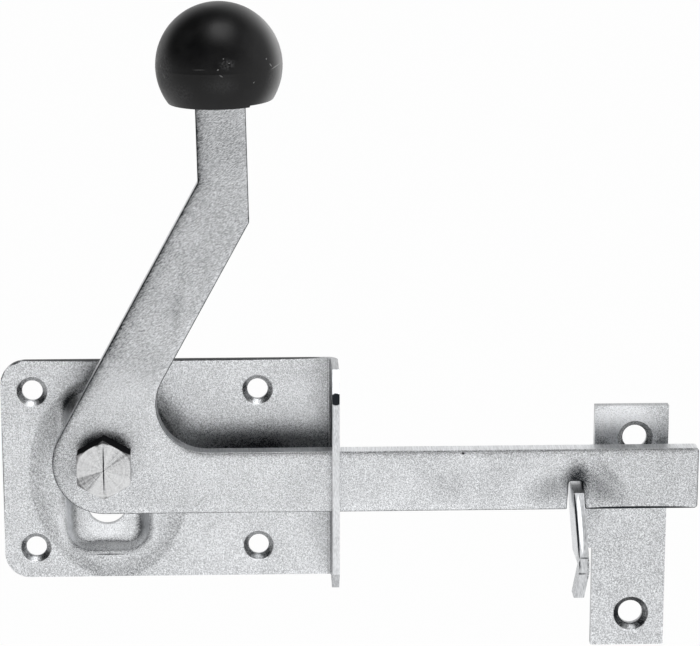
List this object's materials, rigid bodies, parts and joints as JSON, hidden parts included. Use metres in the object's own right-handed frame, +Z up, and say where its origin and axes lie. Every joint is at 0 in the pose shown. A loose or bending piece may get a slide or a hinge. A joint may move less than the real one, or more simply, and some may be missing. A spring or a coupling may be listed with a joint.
{
  "type": "gate bolt",
  "caption": "Lever gate bolt: folded base plate, pivoting arm with a ball knob and a notch, and a keeper whose lug holds the arm.",
  "frame": {"origin": "centre of the four screw holes, on the back face of the base plate", "axes": "+X along the closed arm towards the keeper, +Z up, -Y towards the person using the bolt"},
  "size_m": [0.2378, 0.0419, 0.229],
  "materials": {
    "plate_steel": "satin, dull zinc-grey sheet",
    "bar_steel": "satin, dull zinc-grey bar with faint stains",
    "keeper_steel": "satin, dull zinc-grey sheet",
    "bolt_steel": "turned, bright zinc",
    "knob_plastic": "matt black"
  },
  "bodies": {
    "fixed": {"base_plate": "plate_steel", "pivot_bolt": "bolt_steel", "pivot_washer": "bolt_steel", "lock_nut": "bolt_steel", "keeper": "keeper_steel"},
    "lever": {"lever": "bar_steel", "knob": "knob_plastic"}
  },
  "joints": [
    {"name": "lever_pivot", "type": "hinge", "parent": "fixed", "child": "lever", "pos_m": [-0.0134, -0.01605, 0.0068], "axis": [0, -1, 0], "range_deg": [0, 12]}
  ]
}
